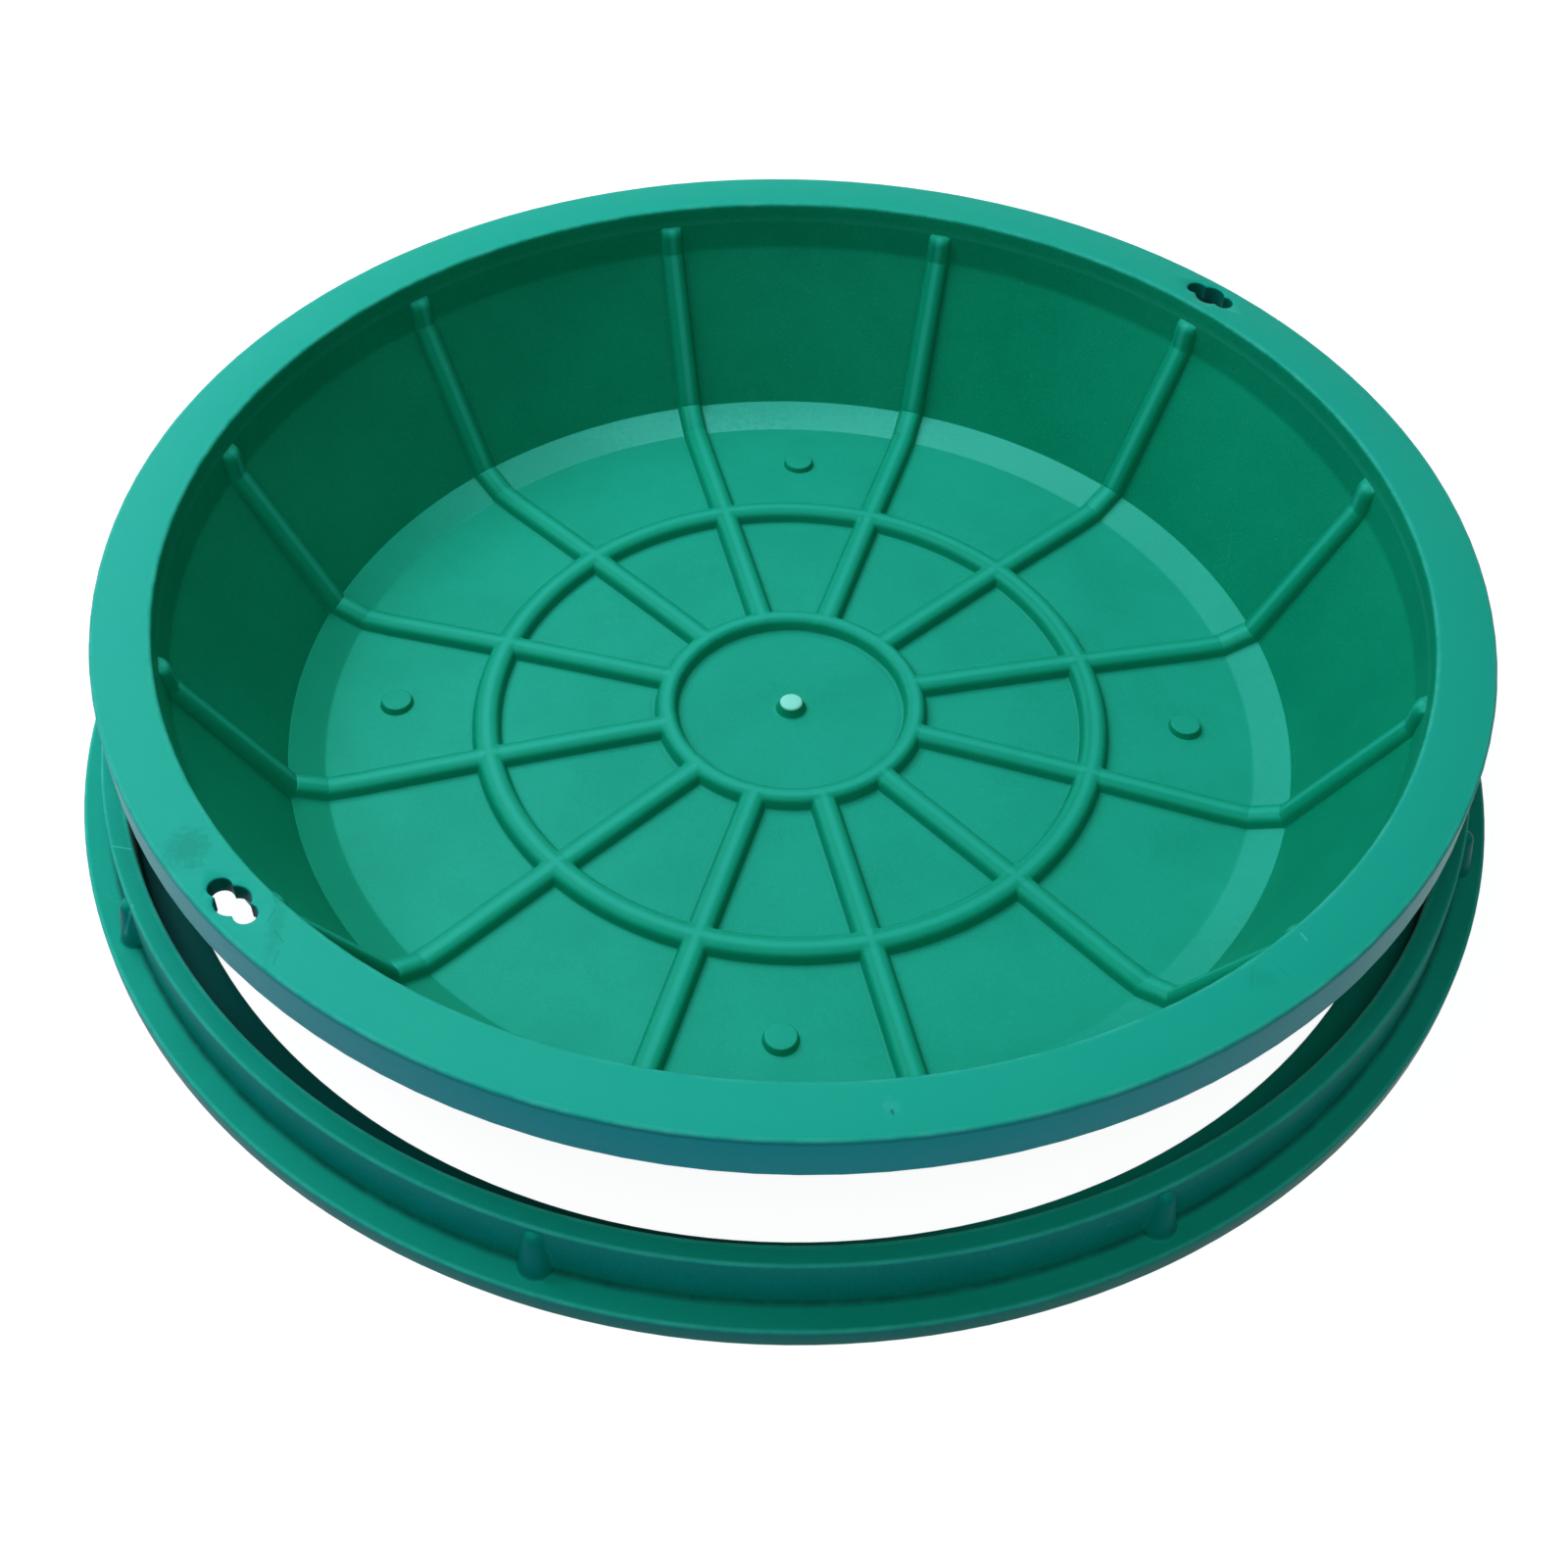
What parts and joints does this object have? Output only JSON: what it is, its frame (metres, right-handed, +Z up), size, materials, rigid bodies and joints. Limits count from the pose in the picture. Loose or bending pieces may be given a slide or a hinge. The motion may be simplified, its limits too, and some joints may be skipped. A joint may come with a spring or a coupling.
{
  "type": "septic tank cover",
  "caption": "Round ribbed basin cover for a septic tank shaft, with lifting holes in its rim, and the gusseted frame ring it drops into.",
  "frame": {"origin": "on the ground at the middle of the frame ring", "axes": "+Z up along the ring's axis, +Y away from the side that the picture is taken from, +X to that side's right"},
  "size_m": [0.8, 0.8, 0.134],
  "materials": {
    "cover_green": "moulded glass-fibre compound, sea green, satin, paler on its level faces, with faint mottling and light scuffs",
    "frame_green": "moulded glass-fibre compound, deeper green, satin, with fine light scratches"
  },
  "bodies": {
    "root": {"cover_basin": "cover_green", "frame_ring": "frame_green"}
  },
  "joints": []
}
